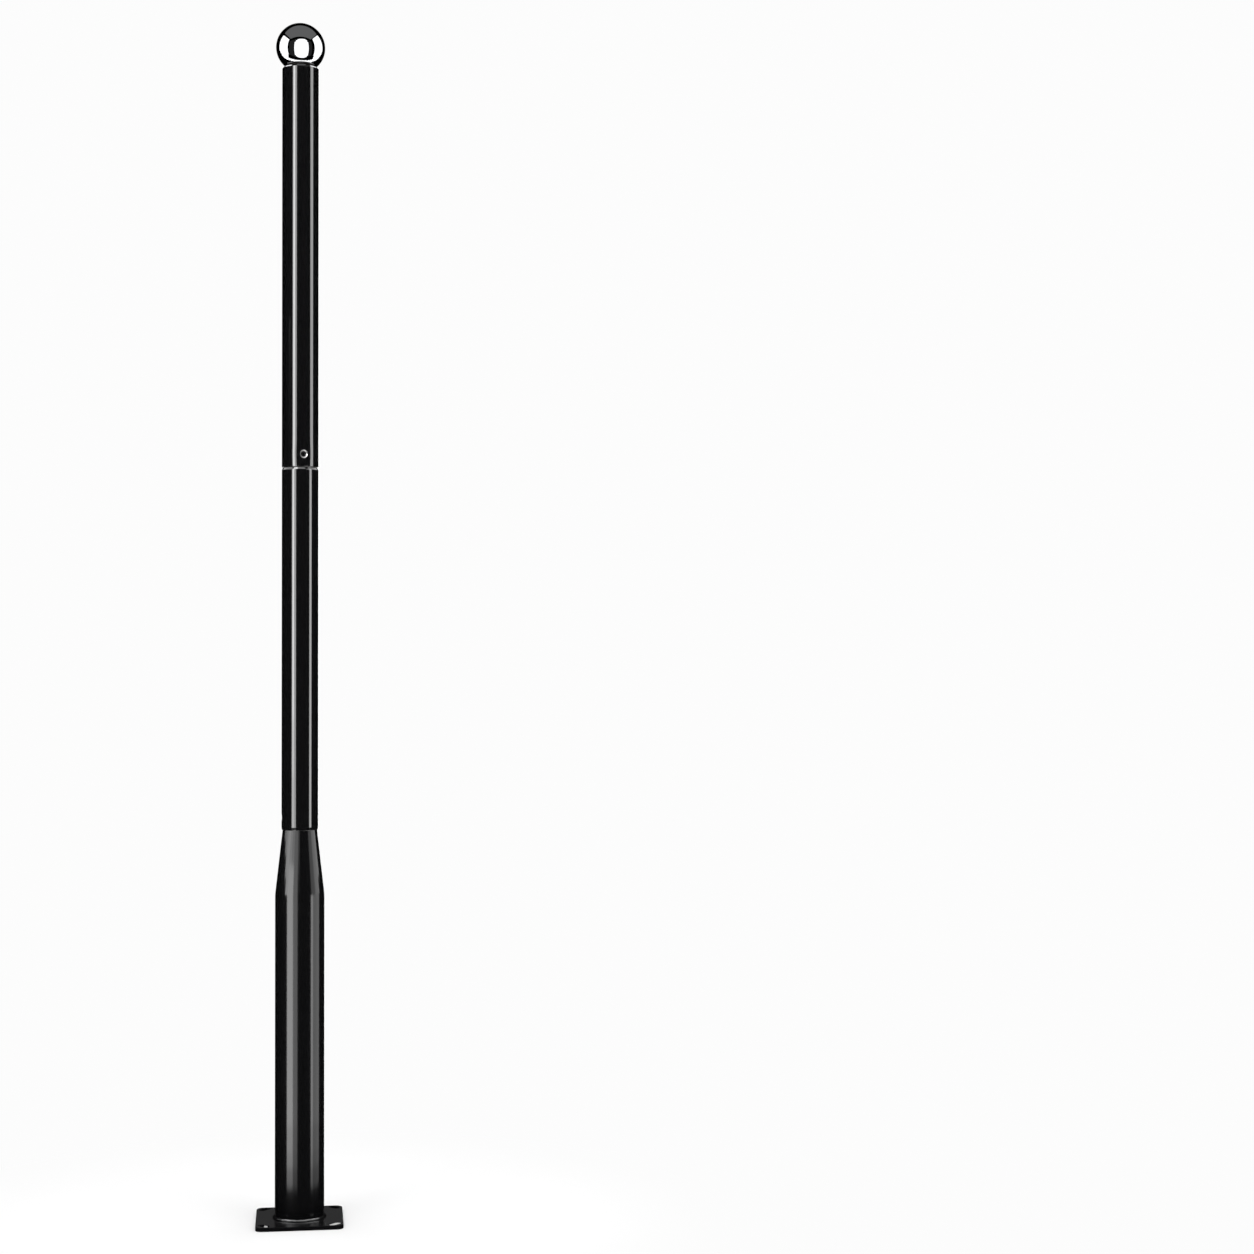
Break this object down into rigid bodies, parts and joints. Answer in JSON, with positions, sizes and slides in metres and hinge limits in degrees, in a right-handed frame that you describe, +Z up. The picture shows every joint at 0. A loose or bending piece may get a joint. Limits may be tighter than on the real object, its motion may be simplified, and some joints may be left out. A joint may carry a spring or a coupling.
{
  "type": "flanged sectional street light pole",
  "caption": "Flange-mounted hollow steel street light pole whose plugged sections step down over a cone, with a polished ball on top.",
  "frame": {"origin": "centre of the ground plate's underside", "axes": "+Z up along the pole, -Y towards the front, which is the side with the upper joint's screw"},
  "size_m": [0.18, 0.18, 2.5],
  "materials": {
    "satin_black_coat": "satin",
    "gloss_black_coat": "gloss",
    "polished_stainless": "polished"
  },
  "bodies": {
    "root": {"flange_plate": "satin_black_coat", "flange_weld": "satin_black_coat", "base_shaft": "satin_black_coat", "base_spigot": "satin_black_coat", "base_spigot_weld": "satin_black_coat", "middle_tube": "gloss_black_coat", "top_tube": "gloss_black_coat", "finial_cap": "polished_stainless", "finial_ball": "polished_stainless"}
  },
  "joints": []
}
